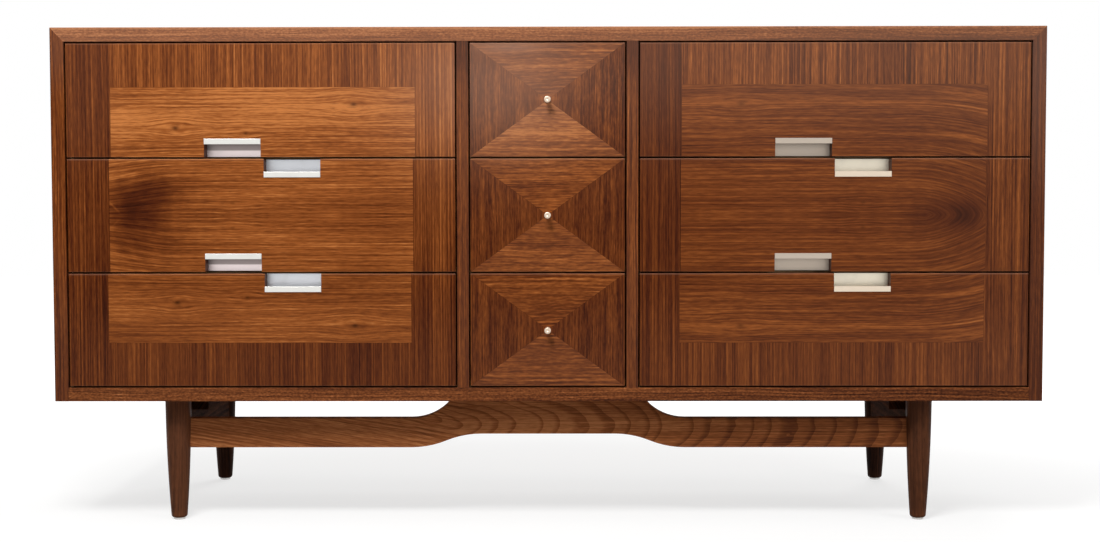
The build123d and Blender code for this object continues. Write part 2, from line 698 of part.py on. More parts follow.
# Half of the stretcher's underside is a flat, a pair of arcs that make an S, and a straight end
s_middle = ((STRETCHER_FLAT_X + STRETCHER_LOW_X) / 2, (STRETCHER_RISE_Z + STRETCHER_Z) / 2)
hollow_centre_z = STRETCHER_TOP_Z + STRETCHER_TOP_R
hollow_end_x = STRETCHER_LOW_X - (STRETCHER_TOP_R**2 - (hollow_centre_z - CASE_Z) ** 2) ** 0.5
stretcher_end_x = LEG_X - RAIL_T / 2  # the side rail covers the end grain behind each leg
with BuildPart() as stretcher_blank:
    with BuildSketch(Plane.XZ.offset(RAIL_T / 2 - LEG_Y[0] - STRETCHER_SETBACK)):
        with BuildLine():
            Line((0, STRETCHER_RISE_Z), (STRETCHER_FLAT_X, STRETCHER_RISE_Z))
            TangentArc((STRETCHER_FLAT_X, STRETCHER_RISE_Z), s_middle, tangent=(1, 0))
            TangentArc((STRETCHER_LOW_X, STRETCHER_Z), s_middle, tangent=(-1, 0))
            Polyline(
                (STRETCHER_LOW_X, STRETCHER_Z),
                (stretcher_end_x, STRETCHER_Z),
                (stretcher_end_x, STRETCHER_TOP_Z),
                (STRETCHER_LOW_X, STRETCHER_TOP_Z),
            )
            TangentArc((STRETCHER_LOW_X, STRETCHER_TOP_Z), (hollow_end_x, CASE_Z), tangent=(-1, 0))
            Line((hollow_end_x, CASE_Z), (0, CASE_Z))
            Line((0, CASE_Z), (0, STRETCHER_RISE_Z))
        make_face()
        mirror(about=Plane.YZ)
    extrude(amount=-RAIL_T)
save(
    "front_stretcher",
    fit_between(stretcher_blank.part, "stretcher", ("front", "left"), ("front", "right")),
)

rear_blank = plain(
    (-LEG_X, LEG_X),
    (LEG_Y[1] - RAIL_T / 2, LEG_Y[1] + RAIL_T / 2),
    (REAR_STRETCHER_Z, CASE_Z),
)
save("rear_stretcher", fit_between(rear_blank, "stretcher", ("rear", "left"), ("rear", "right")))

cleats = []
for side, sign in (("left", -1), ("right", 1)):
    rail_blank = plain(
        (sign * LEG_X - RAIL_T / 2, sign * LEG_X + RAIL_T / 2),
        LEG_Y,
        (SIDE_RAIL_Z, CASE_Z),
    )
    with BuildPart() as leg_rail:
        add(fit_between(rail_blank, "rail", ("front", side), ("rear", side)))
        drill(CLEAT_RAIL_SCREWS, CLEAT_SCREW + SCREW_CLEAR)
    save(f"{side}_leg_rail", leg_rail.part)

    with BuildPart() as cleat:
        slab(
            sorted((sign * CLEAT_IN_X, sign * (CLEAT_IN_X + CLEAT))),
            (CLEAT_MIDDLE_Y - CLEAT_LENGTH / 2, CLEAT_MIDDLE_Y + CLEAT_LENGTH / 2),
            (CASE_Z - CLEAT, CASE_Z),
        )
        drill(CLEAT_UP_SCREWS + CLEAT_RAIL_SCREWS, CLEAT)
    cleats.append(cleat.part)
save("base_cleats", *cleats)

glides = []
for x, y in LEG_PLACES.values():
    with BuildPart(Plane(origin=(x, y, 0))) as glide:
        Cylinder(GLIDE_R, GLIDE_T, align=(Align.CENTER, Align.CENTER, Align.MIN))
        fillet(glide.edges().sort_by(Axis.Z)[0], GLIDE_ROUND)
        with Locations((0, 0, GLIDE_T)):
            Cylinder(GLIDE_NAIL_R, GLIDE_NAIL_LENGTH, align=(Align.CENTER, Align.CENTER, Align.MIN))
    glides.append(glide.part)
save("floor_glides", *glides)

save(
    "case_screws",
    *(screw(place, way, BACK_SCREW) for place, way in BACK_SCREWS),
    *(screw(place, way, CLEAT_SCREW) for place, way in CLEAT_UP_SCREWS + CLEAT_RAIL_SCREWS),
)
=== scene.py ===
import math

import bpy
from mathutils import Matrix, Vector


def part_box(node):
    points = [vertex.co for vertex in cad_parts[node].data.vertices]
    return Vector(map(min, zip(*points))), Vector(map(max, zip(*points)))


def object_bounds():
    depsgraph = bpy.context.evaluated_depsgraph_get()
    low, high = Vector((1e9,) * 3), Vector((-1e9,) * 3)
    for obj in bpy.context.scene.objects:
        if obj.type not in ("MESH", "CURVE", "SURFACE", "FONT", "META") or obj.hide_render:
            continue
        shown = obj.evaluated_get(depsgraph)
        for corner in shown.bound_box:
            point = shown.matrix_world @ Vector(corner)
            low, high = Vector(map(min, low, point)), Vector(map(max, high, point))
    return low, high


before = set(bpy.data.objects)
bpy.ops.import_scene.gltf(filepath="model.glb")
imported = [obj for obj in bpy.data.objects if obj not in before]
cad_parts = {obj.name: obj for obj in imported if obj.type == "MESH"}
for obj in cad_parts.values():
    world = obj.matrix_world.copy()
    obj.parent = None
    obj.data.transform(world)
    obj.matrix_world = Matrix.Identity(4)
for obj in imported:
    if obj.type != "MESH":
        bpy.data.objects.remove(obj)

# Looks of the nine-drawer walnut dresser: camera, light, floor, and the finish of every board and fitting.
# Metres, +Z up, the front towards -Y. The veneers are laid by place, so each drawer carries its own part.

CAD_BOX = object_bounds()

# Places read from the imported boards
LOWER_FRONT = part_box("lower_right_drawer_front")
MIDDLE_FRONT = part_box("middle_right_drawer_front")
CENTRE_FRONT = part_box("middle_centre_drawer_front")
WIDE_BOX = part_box("middle_right_drawer_box")
NARROW_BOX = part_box("middle_centre_drawer_box")
FRONT_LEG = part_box("front_right_leg")
REAR_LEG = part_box("rear_right_leg")
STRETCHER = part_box("front_stretcher")
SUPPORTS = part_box("centre_drawer_supports")

ROW_PITCH = MIDDLE_FRONT[0].z - LOWER_FRONT[0].z
STACK_Z = (MIDDLE_FRONT[0].z + MIDDLE_FRONT[1].z) / 2
HALF_ROW = (MIDDLE_FRONT[1].z - MIDDLE_FRONT[0].z) / 2
HALF_CENTRE = CENTRE_FRONT[1].x
HALF_BANK = (MIDDLE_FRONT[1].x - MIDDLE_FRONT[0].x) / 2
BANK_X = (MIDDLE_FRONT[0].x + MIDDLE_FRONT[1].x) / 2
LEG_X = (FRONT_LEG[0].x + FRONT_LEG[1].x) / 2
LEG_Y = (FRONT_LEG[0].y + FRONT_LEG[1].y) / 2
LEG_MIDDLE_Y = (FRONT_LEG[0].y + REAR_LEG[1].y) / 2
FACE_Y = MIDDLE_FRONT[0].y
TOP_Z = CAD_BOX[1][2]

# Drawer boxes and the frames they run on
BOX_HEIGHT = 0.152
BOX_T = 0.012
BOX_Z = WIDE_BOX[1].z - BOX_HEIGHT / 2
TAIL_PITCH = 0.030
TAIL_HALF_TIP = 0.0105
TAIL_HALF_ROOT = 0.0075
BACK_TAILS_UP = 0.0055  # the tails at the back sit this much above the middle of the box
FRONT_RAIL_DEPTH = 0.055
REAR_RAIL_DEPTH = 0.045

# Veneer layout of the wide banks: a field of lying grain inside bands of standing grain
FIELD_HALF_WIDTH = 0.2337
FIELD_HALF_HEIGHT = 0.1965
RIGHT_FIELD_EXTRA = 0.0034  # the right field reaches this much higher
RIGHT_FIELD_SHIFT = 0.0022  # and sits this much nearer the middle
LEFT_SLIP = 0.0034  # each leaf sits a little further right than the one under it
RIGHT_SLIP = 0.0013
SEAM = 0.00035  # half the width of a dark seam
SEAM_CORE = SEAM * 0.3
ARCH_X = 0.555  # on the right the grain starts to arch round the crotch here
ARCH_STRETCH = 1.9
EYE_SHIFT = 0.020  # the innermost arches start this much further out
CROTCH_X = 0.639  # where two branches met, at the outer end of the field
CROTCH_SHIFT = 0.002  # on the left it lies further out and higher
CROTCH_RISE = 0.012
CORE_X = 0.641  # the darkest part of the right one
CORE_RISE = -0.001
TONGUE_X = 0.659  # the pale tongues at the end of the left one start here
FLAME_X = 0.666
KNOTS = (
    (0.571, 0.134, 0.0075, 0.90, 0.25),
    (0.297, 0.170, 0.0080, 0.90, 0.60),
    (0.463, 0.126, 0.0045, 0.70, 0.05),
    (0.484, 0.019, 0.0055, 0.40, 0.40),
)  # place along the bank, height from its middle, size, darkness on the left and on the right

# Layout of the other finishes
LEAF_WIDTH = 0.1205  # veneer leaves of the top and the sides
STRIP_ZONE = 0.4  # tells the four standing strips of edging apart
KNOB_ZONE = 0.02  # half the width of the zone that holds the knobs

# Colours from dark heartwood to honey-coloured sapwood, as the lacquer shows them
WALNUT = (
    (0.00, (0.022, 0.0035, 0.0010)),
    (0.25, (0.080, 0.0160, 0.0040)),
    (0.50, (0.170, 0.0425, 0.0086)),
    (0.75, (0.325, 0.0920, 0.0190)),
    (1.00, (0.580, 0.2000, 0.0520)),
)
SOLID_WALNUT = (
    (0.00, (0.016, 0.0055, 0.0035)),
    (0.25, (0.072, 0.0255, 0.0120)),
    (0.50, (0.153, 0.0510, 0.0200)),
    (0.75, (0.292, 0.1020, 0.0390)),
    (1.00, (0.500, 0.2100, 0.0950)),
)
EDGING_WALNUT = tuple(
    (place, tuple((red + brown) / 2 for red, brown in zip(veneer, solid)))
    for (place, veneer), (_, solid) in zip(WALNUT, SOLID_WALNUT)
)
PALE_WOOD = (
    (0.00, (0.215, 0.1150, 0.0500)),
    (0.50, (0.430, 0.2650, 0.1300)),
    (1.00, (0.600, 0.4200, 0.2400)),
)
BACKING = (
    (0.00, (0.115, 0.0510, 0.0200)),
    (0.50, (0.225, 0.1080, 0.0450)),
    (1.00, (0.345, 0.1830, 0.0850)),
)
PAINTED_SHEEN_COLOUR = (0.330, 0.185, 0.130)  # painted sheen: a pale reflection of the room, painted into the colour
PORE_SHADE = (0.35, 0.30, 0.28)
KNOT_SHADE = (0.10, 0.07, 0.06)

# Shader settings that are the same all over a surface
LACQUER = {"Specular IOR Level": 0.03, "Coat Weight": 0.02, "Coat Roughness": 0.20}
BARE = {"Specular IOR Level": 0.10}
OILED = {"Specular IOR Level": 0.02}
METAL = {"Metallic": 1.0}
WOOD_RELIEF = 0.00012
BRUSHED_RELIEF = 0.00003
PLATED_RELIEF = 0.00005


class Wire:
    """A socket of a node tree. Arithmetic on wires adds Math nodes."""

    def __init__(self, socket):
        self.socket = socket
        self.tree = socket.id_data

    def make(self, kind, settings, sockets, output=0):
        """Adds any node: first its settings, then the values or links of its sockets."""
        node = self.tree.nodes.new(kind)
        for name, value in settings.items():
            if name == "stops":
                ramp = node.color_ramp.elements
                while len(ramp) < len(value):
                    ramp.new(1.0)
                for stop, (position, colour) in zip(ramp, value):
                    stop.position = position
                    stop.color = (*colour, 1.0)
            else:
                setattr(node, name, value)
        inputs = {socket.identifier: socket for socket in node.inputs}
        for name, value in sockets.items():
            if isinstance(value, Wire):
                self.tree.links.new(value.socket, inputs[name])
            else:
                inputs[name].default_value = value
        return Wire(node.outputs[output]) if node.outputs else None

    def math(self, operation, *values):
        names = ("Value", "Value_001", "Value_002")
        return self.make("ShaderNodeMath", {"operation": operation}, dict(zip(names, values)))

    def __add__(self, other):
        return self.math("ADD", self, other)

    def __sub__(self, other):
        return self.math("SUBTRACT", self, other)

    def __rsub__(self, other):
        return self.math("SUBTRACT", other, self)

    def __mul__(self, other):
        return self.math("MULTIPLY", self, other)

    def __truediv__(self, other):
        return self.math("DIVIDE", self, other)

    def __rpow__(self, other):
        return self.math("POWER", other, self)

    def __mod__(self, other):
        return self.math("FLOORED_MODULO", self, other)

    def __floordiv__(self, other):
        return self.math("FLOOR", self / other)

    def __abs__(self):
        return self.math("ABSOLUTE", self)

    def __lt__(self, other):
        return self.math("LESS_THAN", self, other)

    def __gt__(self, other):
        return self.math("GREATER_THAN", self, other)

    __radd__ = __add__
    __rmul__ = __mul__


def smaller(first, second):
    return first.math("MINIMUM", first, second)


def larger(first, second):
    return first.math("MAXIMUM", first, second)


def distance(first, second):
    """The distance of a point from the origin, from its two coordinates."""
    return first.math("SQRT", first * first + second * second)


def smooth(value, low, high):
    """An eased step from 0 at low to 1 at high."""
    sockets = {"Value": value, "From Min": low, "From Max": high}
    return value.make("ShaderNodeMapRange", {"interpolation_type": "SMOOTHSTEP"}, sockets)


def bell(first, second):
    """1 at the origin of two coordinates, falling off smoothly to 0 a few units away."""
    return math.e ** (0 - (first * first + second * second))


def pick(share, first, second):
    """Goes from the first value to the second as the share goes from 0 to 1."""
    return first + (second - first) * share


def around(value, middle, pitch):
    """The distance from the nearest of a row of places that repeat at a pitch."""
    return (value - middle + pitch / 2) % pitch - pitch / 2


def tint(share, first, second, how="MIX"):
    """Mixes two colours."""
    wire = share if isinstance(share, Wire) else first
    settings = {"data_type": "RGBA", "blend_type": how}
    sockets = {"Factor_Float": share, "A_Color": first, "B_Color": second}
    for name, value in sockets.items():
        if isinstance(value, tuple):
            sockets[name] = (*value, 1.0)
    return wire.make("ShaderNodeMix", settings, sockets, output=2)


def axes(place):
    """The X, Y and Z of a place."""
    split = place.make("ShaderNodeSeparateXYZ", {}, {"Vector": place})
    return [Wire(socket) for socket in split.socket.node.outputs]


def point(wire, x, y, z):
    return wire.make("ShaderNodeCombineXYZ", {}, {"X": x, "Y": y, "Z": z})


def noise(place, stretch, detail=2.0, roughness=0.5):
    """Noise with this many waves to the metre along each axis, about 0 in the mean."""
    sockets = {"Vector": place, "Vector_001": stretch}
    scaled = place.make("ShaderNodeVectorMath", {"operation": "MULTIPLY"}, sockets)
    sockets = {"Vector": scaled, "Scale": 1.0, "Detail": detail, "Roughness": roughness}
    return place.make("ShaderNodeTexNoise", {}, sockets) - 0.5


def start(name):
    """A new finish and the place on the board that it reads."""
    finish = bpy.data.materials.new(name)
    finish.use_nodes = True
    finish.node_tree.nodes.clear()
    coordinates = finish.node_tree.nodes.new("ShaderNodeTexCoord")
    return finish, Wire(coordinates.outputs["Object"])


def facing(place):
    """The X, Y and Z of the way a face points."""
    return axes(place.make("ShaderNodeNewGeometry", {}, {}, output="True Normal"))


def coat(finish, colour, roughness, height, relief, shader):
    """Closes a finish: its colour, its sheen and the relief of its surface."""
    sockets = {"Strength": 1.0, "Distance": relief, "Height": height}
    bumped = colour.make("ShaderNodeBump", {}, sockets)
    sockets = {"Base Color": colour, "Roughness": roughness, "Normal": bumped, **shader}
    surface = colour.make("ShaderNodeBsdfPrincipled", {}, sockets)
    colour.make("ShaderNodeOutputMaterial", {}, {"Surface": surface})
    return finish


def grain(along, rings, seed, shade=1.0, lines=1.0, ticks=1.0):
    """How light the wood is, and its open pores.

    along runs with the grain and rings goes across it, both in metres. shade, lines and ticks weigh the broad
    changes across a leaf, its long growth lines and the short dashes of its vessels.
    """
    wood = point(rings, along, rings, seed)
    broad = noise(wood, (1.8, 22.0, 1.0), detail=2.0)
    stripes = noise(wood, (1.6, 95.0, 1.0), detail=1.0)
    growth = noise(wood, (2.2, 380.0, 1.0), detail=1.0, roughness=0.6)
    streaks = noise(wood, (13.0, 410.0, 1.0), detail=1.0)
    vessels = noise(wood, (62.0, 480.0, 1.0), detail=1.0)
    fibres = noise(wood, (60.0, 2100.0, 1.0), detail=1.0)
    pores = smooth(noise(wood, (75.0, 1250.0, 1.0), detail=1.0), 0.09, 0.20)
    light = (broad * 0.36 + stripes * 0.22) * shade + growth * 0.74 * lines
    return light + (streaks * 0.46 + vessels * 0.36) * ticks + fibres * 0.20, pores


def latewood(rings, per_metre, drift):
    """The dark line that closes each growth ring, soft on the inside and sharp on the outside."""
    return smooth((rings * per_metre + drift) % 1.0, 0.40, 0.98)


def wood_finish(finish, tone, pores, stops=WALNUT, shader=LACQUER, sheen=0.40, painted_sheen=None, dark=None):
    """Colours a board from its tone and closes the finish."""
    colour = tone.make("ShaderNodeValToRGB", {"stops": stops}, {"Fac": tone})
    colour = tint(pores * 0.40, colour, PORE_SHADE, how="MULTIPLY")
    if dark is not None:
        colour = tint(dark, colour, KNOT_SHADE, how="MULTIPLY")
    # A painted sheen mixes a pale painted reflection into the colour
    if painted_sheen is not None:
        colour = tint(painted_sheen, colour, PAINTED_SHEEN_COLOUR)
    roughness = sheen + pores * 0.18 - (tone - 0.5) * 0.06
    height = tone * 0.35 - pores
    return coat(finish, colour, roughness, height, WOOD_RELIEF, shader)


def wide_bank(x, z, left, rise):
    """The wide drawers: a book-matched field with a crotch at its outer end, inside bands of standing grain.

    Gives the tone, the pores, the distance from the seam and the darkness of the knots.
    """
    out = abs(x)
    row = (rise + ROW_PITCH * 1.5) // ROW_PITCH - 1
    seed = left * 3.7 + 1.3
    shifted = abs(x + (1 - left) * RIGHT_FIELD_SHIFT - row * pick(left, RIGHT_SLIP, LEFT_SLIP))
    from_end = FIELD_HALF_WIDTH - abs(shifted - BANK_X)
    from_edge = FIELD_HALF_HEIGHT + (rise > 0) * (1 - left) * RIGHT_FIELD_EXTRA - abs(rise)
    inside = smaller(from_end, from_edge)
    # With these masks the tones below are lighter up high and darker low down, partly the leaves' own tone
    # and partly painted light from above
    upper = smooth(rise, 0.03, 0.15)
    lower = smooth(0 - rise, 0.03, 0.15)

    # The field, two leaves opened like a book along the middle of the stack
    leaf = abs(rise)
    arch = larger(out - ARCH_X - bell(leaf / 0.035, 0.0) * EYE_SHIFT, 0.0) / ARCH_STRETCH
    wander = noise(point(x, x, z, 0.0), (4.0, 11.0, 1.0), detail=2.0)
    fan = smooth(out, 0.57, 0.70) * bell(leaf / 0.06, 0.0) * left
    unrest = bell((out - CROTCH_X) / 0.09, rise / 0.07) * 0.007 + 0.0035
    rings = distance(arch * (1 - left), leaf + 0.004) * (fan * 0.6 + 1) + wander * unrest
    knot_dark = 0.0 * x
    for knot_x, knot_rise, size, left_darkness, right_darkness in KNOTS:
        aside = out - knot_x
        above = leaf - knot_rise
        darkness = pick(left, right_darkness, left_darkness)
        rings = rings - above * bell(aside / (size * 5), above / (size * 2.2)) * darkness * 0.9
        knot_dark = knot_dark + bell(aside / (size * 0.75), above / (size * 0.42)) * darkness
    quiet = pick(left, (upper + lower) * 0.25 + 0.90, upper * 0.25 + 1.10)  # the right bank is plainer
    light, field_pores = grain(out, rings, seed, lines=0.8, ticks=1.0)
    light = light * quiet

    # The crotch, an uneven smoky cloud that trails off towards the middle of the bank
    cloud = noise(point(x, x, z, 1.0), (16.0, 16.0, 1.0), detail=4.0, roughness=0.6)
    aside = out - CROTCH_X - left * CROTCH_SHIFT
    above = rise - left * CROTCH_RISE
    reach_out = larger(aside / pick(left, 0.042, 0.048), (0 - aside) / pick(left, 0.090, 0.096))
    reach_up = larger(above / pick(left, 0.042, 0.060), (0 - above) / pick(left, 0.042, 0.076))
    wedge = bell((aside + 0.070) / 0.050, (rise - 0.004) / 0.017) * left
    smoky = 1 - smooth(distance(reach_out, reach_up) + cloud * 1.1 + light * 0.25 + wedge * 0.35, 0.0, 1.40)
    tongue = abs(rise) - (out - TONGUE_X) * 0.95 - 0.006
    flame = bell(tongue / 0.0022, (out - FLAME_X) / 0.007) * pick(rise > 0, 0.4, 1.0) * left
    field_tone = pick(left, 0.47 + upper * 0.04 + lower * 0.05, 0.66 + upper * 0.19)
    drifts = noise(point(x, out, leaf, left), (5.0, 14.0, 1.0), detail=2.0) * pick(left, 0.14, 0.22)
    field_tone = field_tone + drifts + light * (1 - smoky * pick(left, 0.45, 0.55))
    field_tone = field_tone - smoky * pick(left, 0.25, 0.53) + flame * 0.26
    core = bell((out - CORE_X) / 0.013, (rise - CORE_RISE) / 0.016) * (cloud * 1.2 + 1) * (1 - left)
    field_tone = field_tone - core * 0.13

    # The bands of standing grain round it
    end_band = from_end < 0
    right_end = (x + (left * 2 - 1) * BANK_X) > 0
    band_seed = seed + 11.0 + end_band * (5.0 + right_end * 3.1) + (rise > 0) * (1 - end_band) * 2.9
    band_wander = noise(point(x, x, z, 3.0), (9.0, 1.4, 1.0), detail=1.0)
    patch = noise(point(x, x, z, 5.0), (4.0, 2.5, 1.0), detail=1.0)
    light, band_pores = grain(z, x + band_wander * 0.006, band_seed, shade=0.75, lines=1.05, ticks=0.8)
    pale_lines = noise(point(x, z, x + band_wander * 0.006, band_seed), (1.5, 260.0, 1.0), detail=0.0)
    light = light + (smooth(pale_lines, 0.10, 0.26) * 0.15 - 0.02) * pick(left, 0.45, 1.0)
    right_tone = 0.47 + upper * (left * 0.10 + 0.05) - lower * (left * 0.03 + 0.08)
    left_tone = pick(left, 0.29 + lower * 0.06, 0.40 + upper * 0.03 - lower * 0.09)
    end_tone = pick(right_end, left_tone, right_tone)
    level_tone = 0.41 + (rise > 0) * (left * 0.085 + 0.09)
    end_contrast = pick(left, right_end * 0.25 + 1.00, 1.2 - right_end * 0.15)
    contrast = pick(end_band, (rise > 0) * (0.59 - left * 0.30) + 0.97, end_contrast)
    band_tone = pick(end_band, level_tone, end_tone) + patch * 0.20 + light * contrast

    field = inside > 0
    tone = pick(field, band_tone, field_tone)
    pores = pick(field, band_pores, field_pores)
    return tone, pores, abs(inside), knot_dark * field * 0.9


def narrow_bank(x, z, rise):
    """The narrow drawers: four triangles mitred to the knob, the grain of each along its own edge.

    Gives the tone, the pores, the distance from the seam and a painted sheen, a pale reflection painted into
    the colour.
    """
    drop = around(z, STACK_Z, ROW_PITCH)
    row = (rise + ROW_PITCH * 1.5) // ROW_PITCH - 1
    across_share = abs(x) / HALF_CENTRE
    up_share = abs(drop) / HALF_ROW
    side_piece = across_share > up_share
    mitre = abs(across_share - up_share) * 0.07
    from_rim = pick(side_piece, HALF_ROW - abs(drop), HALF_CENTRE - abs(x))
    run = pick(side_piece, x, drop)
    wander = noise(point(x, x, z, 7.0), (9.0, 9.0, 1.0), detail=1.0)
    nest = larger(across_share, up_share)
    nested = noise(point(x, nest, row, 0.0), (5.5, 3.3, 1.0), detail=1.0)
    seed = row * 2.0 + side_piece * 7.1 + 21.35
    patch = noise(point(x, x, z, 9.0), (20.0, 20.0, 1.0), detail=2.0)
    light, pores = grain(run, from_rim + wander * 0.005, seed, shade=0.35, lines=0.6, ticks=1.2)
    light = light + noise(point(x, run, from_rim, seed), (120.0, 420.0, 1.0), detail=1.0) * 0.30
    below = (drop < 0) * (1 - side_piece)
    right_side = side_piece * (x > 0)
    tone = 0.565 - side_piece * 0.175 - right_side * 0.035 + nested * 0.10 + patch * 0.24
    # The top row is lighter and the bottom row a little darker, partly the leaves' own tone and partly
    # painted light from above
    top_row = smooth(rise, 0.06, 0.16)
    tone = tone + top_row * (below * 0.22 - right_side * 0.04 + 0.085) - smooth(0 - rise, 0.06, 0.16) * 0.02
    near_knob = (1 - smooth(nest, 0.30, 0.85)) * top_row * (drop > 0)
    tone = tone + near_knob * (side_piece * 0.13 - 0.05)
    # Painted sheen: pale painted reflections in the lower piece, across the top row and in a spot left of the
    # knob
    painted_sheen = below * 0.045 + top_row * ((1 - side_piece) * 0.04 - right_side * 0.035) + (1 - top_row) * 0.010
    painted_sheen = painted_sheen + bell((x + 0.055) / 0.055, (HALF_ROW - drop - 0.006) / 0.009) * top_row * 0.28
    return tone + light * (1.15 - side_piece * 0.15 + top_row * 0.35), pores, mitre, painted_sheen


def drawer_front_veneer(name, narrow):
    """The wide or the narrow drawer fronts, veneered by place so that the figure runs on through a bank."""
    finish, place = start(name)
    x, y, z = axes(place)
    rise = z - STACK_Z
    if narrow:
        tone, pores, seam, painted_sheen_marks = narrow_bank(x, z, rise)
        aside = HALF_CENTRE - abs(x)
        knots = 0.0
    else:
        tone, pores, seam, knots = wide_bank(x, z, x < 0, rise)
        aside = HALF_BANK - abs(abs(x) - BANK_X)
        painted_sheen_marks = 0.0
    seam_line = 1 - smooth(seam, SEAM_CORE, SEAM)
    dark = larger(seam_line * 0.45, knots)

    # The arrises are lighter, partly rubbed wear and partly a painted highlight where the eased edge catches
    # the light, and the edges of the board show plain long grain
    edge = 1 - smooth(abs(facing(place)[1]), 0.2, 0.4)
    drop = around(z, STACK_Z, ROW_PITCH)
    from_arris = smaller(aside, HALF_ROW - abs(drop))
    scuffs = noise(place, (60.0, 60.0, 60.0), detail=2.0) + 0.5
    rubbed_and_highlit = (1 - smooth(from_arris, 0.0006, 0.0022)) * scuffs
    edge_light, edge_pores = grain(x + z, y, 31.0)
    tone = pick(edge, tone + rubbed_and_highlit * 0.16, edge_light * 0.7 + 0.26)
    pores = pick(edge, pores, edge_pores)

    # Painted sheen: a pale painted reflection along the arrises as a highlight, round the upper end of the
    # left partition and along the top at the right, and a little towards the right, the bottom and the upper
    # left corner
    upper_arris = 1 - smooth(HALF_ROW - drop, 0.0008, 0.0030)
    lower_arris = 1 - smooth(HALF_ROW + drop, 0.0006, 0.0020)
    arris_highlight = upper_arris * (0.27 - smooth(rise, 0.2, 0.25) * 0.10) + lower_arris * 0.10
    painted_sheen_marks = painted_sheen_marks + arris_highlight * (scuffs * 0.6 + 0.7)
    painted_sheen_marks = painted_sheen_marks + bell((x + 0.085) / 0.14, (rise - 0.20) / 0.105) * 0.36
    painted_sheen_marks = painted_sheen_marks + bell((x - 0.35) / 0.75, (rise - 0.26) / 0.13) * 0.20
    painted_sheen_marks = painted_sheen_marks + smooth(x, 0.0, 0.5) * 0.035 + smooth(x, 0.45, 0.70) * 0.025
    painted_sheen_marks = painted_sheen_marks + smooth(0 - rise, 0.08, 0.25) * 0.035
    painted_sheen_marks = painted_sheen_marks + smooth(rise, 0.03, 0.14) * smooth(0 - x, 0.62, 0.70) * 0.035
    painted_sheen = painted_sheen_marks * (1 - edge)
    return wood_finish(finish, tone, pores, painted_sheen=painted_sheen, dark=dark * (1 - edge))


def laid_veneer(name, along, across, heart_end, tone, seed):
    """A panel of leaves laid side by side and opened like a book.

    The heart of the log runs up the middle of each leaf and dives under its face from heart_end on, which
    draws long arches.
    """
    finish, place = start(name)
    axis = dict(zip("xyz", axes(place)))
    run = axis[along]
    spread = axis[across]
    leaf = spread // LEAF_WIDTH
    local = (spread / LEAF_WIDTH) % 1.0 - 0.5
    mirrored = pick(leaf % 2.0, local, 0 - local) * LEAF_WIDTH
    wander = noise(point(run, run, mirrored, seed), (2.2, 9.0, 1.0), detail=2.0)
    depth = noise(point(run, run, seed, leaf * 0.03), (1.7, 1.0, 1.0), detail=1.0) * 0.040
    depth = depth + (run - heart_end) * 0.075
    rings = distance(mirrored + 0.012 + wander * 0.02, depth)
    light, pores = grain(run, rings, seed + leaf * 0.02, lines=0.7, ticks=0.8)
    late = latewood(rings, 110.0, wander * 0.6)
    leaf_tone = noise(point(run, leaf, seed, 0.0), (0.73, 1.0, 1.0), detail=0.0) * 0.25
    joint = 1 - smooth(LEAF_WIDTH / 2 - abs(local) * LEAF_WIDTH, SEAM_CORE, SEAM)
    tone = tone + leaf_tone + light - (late - 0.3) * 0.13
    return wood_finish(finish, tone, pores, dark=joint * 0.35)


def solid_walnut(name, along, across, seed, tone, stops=EDGING_WALNUT, shader=LACQUER, sheen=0.40):
    """Solid boards sawn along the grain, with the long slanting figure of a slightly crooked log."""
    finish, place = start(name)
    axis = dict(zip("xyz", axes(place)))
    run = axis[along]
    third = axis[({"x", "y", "z"} - {along, across}).pop()]
    bend = noise(point(run, run, seed, third), (1.9, 1.0, 2.0), detail=2.0) * 0.030
    rings = distance(axis[across] + bend, third * 0.7 + seed * 0.01)
    light, pores = grain(run, rings, seed, lines=0.8, ticks=0.9)
    return wood_finish(finish, tone + light, pores, stops=stops, shader=shader, sheen=sheen)


def lying_edging():
    """Edging along the top and bottom of the case: the top one is painted paler for the light it catches from
    above, with a painted highlight and some wear along its upper arris, painted shade towards its lower edge
    and a painted sheen on its front.
    """
    finish, place = start("lying_edging")
    x, _, z = axes(place)
    top = smooth(z, STACK_Z, STACK_Z + 0.1)
    bend = noise(point(x, x, top * 3.0, 0.0), (1.9, 1.0, 1.0), detail=2.0) * 0.030
    light, pores = grain(x, z + bend, top * 4.0 + 4.0, lines=1.0, ticks=1.1)
    flecks = noise(point(x, x, z, top), (230.0, 430.0, 1.0), detail=1.0)
    # Both edgings are painted darker towards the right, as the light falls off from the left
    rightward = smooth(x, -0.6, 0.45)
    tone = pick(top, 0.515 - rightward * 0.08, 0.785 - rightward * 0.17) + light + flecks * 0.75
    from_top = TOP_Z - z
    front = top * smooth(0 - facing(place)[1], 0.2, 0.6)
    # Painted highlight along the upper arris of the top edging, partly wear too, and painted shade towards
    # its lower edge
    worn_and_highlit = (1 - smooth(from_top, 0.0008, 0.0055)) * front
    tone = tone + worn_and_highlit * 0.26 + top * (0.02 - smooth(from_top, 0.009, 0.021) * 0.14)
    # Painted sheen: a pale painted reflection on the front of the top edging
    painted_sheen = front * 0.29 + worn_and_highlit * 0.06 + (1 - top) * 0.010
    return wood_finish(finish, tone, pores, stops=EDGING_WALNUT, painted_sheen=painted_sheen)


